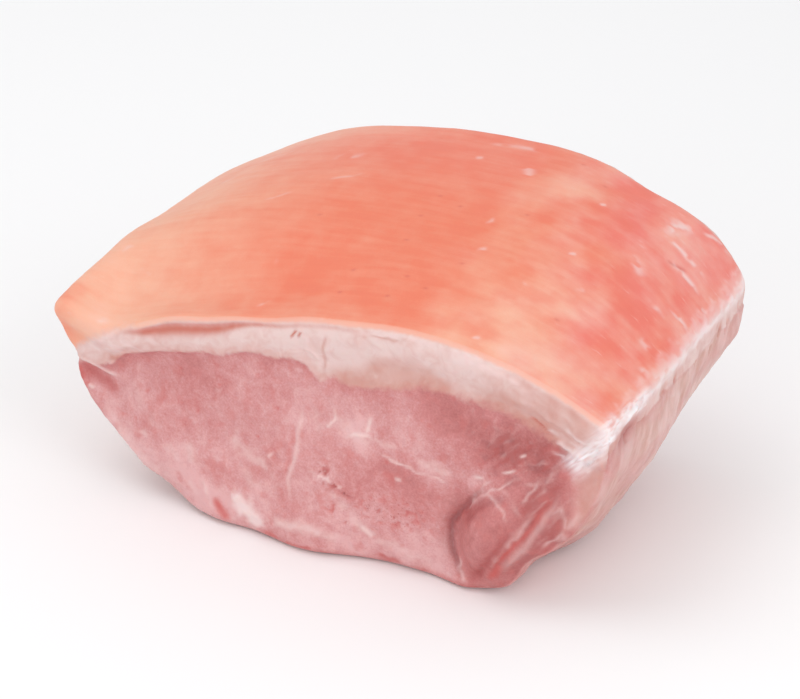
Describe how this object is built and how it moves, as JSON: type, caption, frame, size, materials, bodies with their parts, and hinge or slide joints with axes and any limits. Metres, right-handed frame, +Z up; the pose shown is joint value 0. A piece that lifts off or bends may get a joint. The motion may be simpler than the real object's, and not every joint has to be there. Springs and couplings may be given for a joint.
{
  "type": "pork roasting joint",
  "caption": "Boneless raw pork joint with smooth rind over a band of fat and a cut face of lean, resting on its flat underside.",
  "frame": {"origin": "on the board under the middle of the joint's bounding box", "axes": "+X along the joint from its thin left tip to its square right end, -Y out of the knife-cut front face, +Z up through the rind"},
  "size_m": [0.2474, 0.1502, 0.13],
  "materials": {
    "pork": "moist satin rind over creamy fat and rose-pink lean"
  },
  "bodies": {
    "root": {"pork_joint": "pork"}
  },
  "joints": []
}
